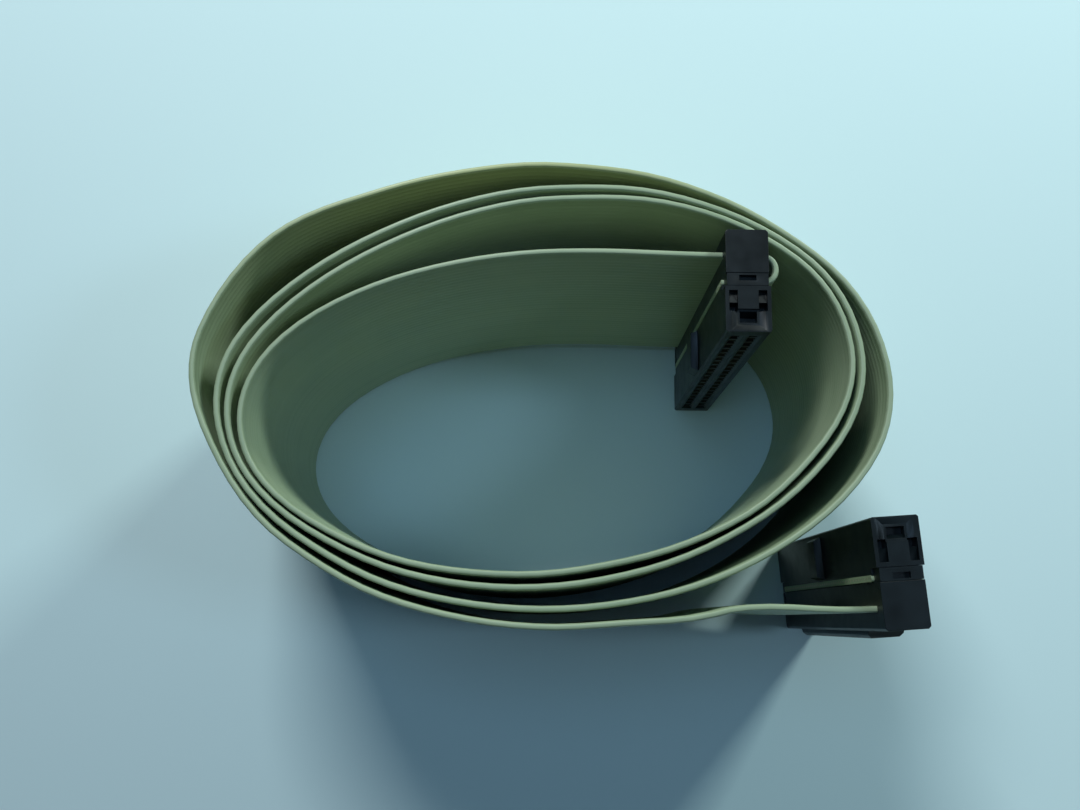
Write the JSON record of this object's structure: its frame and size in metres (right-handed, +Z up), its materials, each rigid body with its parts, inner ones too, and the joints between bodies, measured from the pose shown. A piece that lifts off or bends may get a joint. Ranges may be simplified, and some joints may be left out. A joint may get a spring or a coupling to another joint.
{
  "type": "ribbon cable",
  "caption": "Flat grey ribbon cable wound into a loose oval coil on its edge, with a black two-row socket crimped on each end to join two pin headers.",
  "frame": {"origin": "on the surface that the coil stands on, under the middle of the whole cable", "axes": "+X along the longer way of the oval coil, towards the outer socket; +Y towards the back of the coil; +Z up, along the ribbon's width"},
  "size_m": [0.102, 0.0682, 0.0559],
  "materials": {
    "jacket": "satin extruded PVC",
    "socket_plastic": "fine moulded",
    "contact_metal": "tin plated"
  },
  "bodies": {
    "root": {"ribbon": "jacket", "inner_body": "socket_plastic", "inner_cover": "socket_plastic", "inner_strain_relief": "socket_plastic", "inner_contacts_odd": "contact_metal", "inner_contacts_even": "contact_metal", "outer_body": "socket_plastic", "outer_cover": "socket_plastic", "outer_strain_relief": "socket_plastic", "outer_contacts_odd": "contact_metal", "outer_contacts_even": "contact_metal"}
  },
  "joints": []
}
